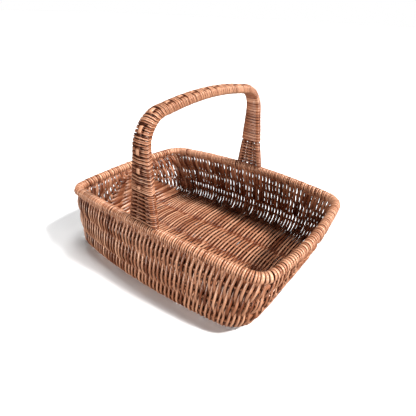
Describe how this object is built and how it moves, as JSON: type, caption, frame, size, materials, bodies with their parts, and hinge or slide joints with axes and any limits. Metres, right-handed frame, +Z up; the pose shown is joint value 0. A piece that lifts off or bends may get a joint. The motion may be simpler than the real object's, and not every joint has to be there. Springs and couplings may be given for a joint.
{
  "type": "woven willow basket",
  "caption": "Rectangular woven willow basket with a wrapped rim hoop, inner rib rods, end weaves and a fixed wrapped bow handle across its middle.",
  "frame": {"origin": "on the ground under the middle of the basket", "axes": "+X along the basket's length, +Y from the front wall to the back wall, +Z up; the handle bow stands in the YZ plane"},
  "size_m": [0.4362, 0.343, 0.3078],
  "materials": {
    "peeled_willow_rod": "satin",
    "buff_willow_weave": "satin",
    "buff_willow_skein": "satin"
  },
  "bodies": {
    "root": {"rim_hoop": "peeled_willow_rod", "front_floor_rib_inner": "peeled_willow_rod", "front_floor_rib_outer": "peeled_willow_rod", "front_wall_rib_low": "peeled_willow_rod", "front_wall_rib_middle": "peeled_willow_rod", "front_wall_rib_high": "peeled_willow_rod", "front_leg_middle_rod": "peeled_willow_rod", "front_foot_fan_rod_left": "peeled_willow_rod", "front_foot_fan_rod_right": "peeled_willow_rod", "back_floor_rib_inner": "peeled_willow_rod", "back_floor_rib_outer": "peeled_willow_rod", "back_wall_rib_low": "peeled_willow_rod", "back_wall_rib_middle": "peeled_willow_rod", "back_wall_rib_high": "peeled_willow_rod", "back_leg_middle_rod": "peeled_willow_rod", "back_foot_fan_rod_left": "peeled_willow_rod", "back_foot_fan_rod_right": "peeled_willow_rod", "handle_main_rod_left": "peeled_willow_rod", "handle_main_rod_right": "peeled_willow_rod", "crosswise_weave_outer": "buff_willow_weave", "crosswise_weave_inner": "buff_willow_weave", "left_end_weave_outer": "buff_willow_weave", "left_end_weave_inner": "buff_willow_weave", "right_end_weave_outer": "buff_willow_weave", "right_end_weave_inner": "buff_willow_weave", "front_foot_weave": "buff_willow_weave", "back_foot_weave": "buff_willow_weave", "rim_wrap_left": "buff_willow_skein", "rim_wrap_right": "buff_willow_skein", "front_foot_binding": "buff_willow_skein", "back_foot_binding": "buff_willow_skein", "handle_wrap": "buff_willow_skein", "handle_listing_strip": "buff_willow_skein"}
  },
  "joints": []
}
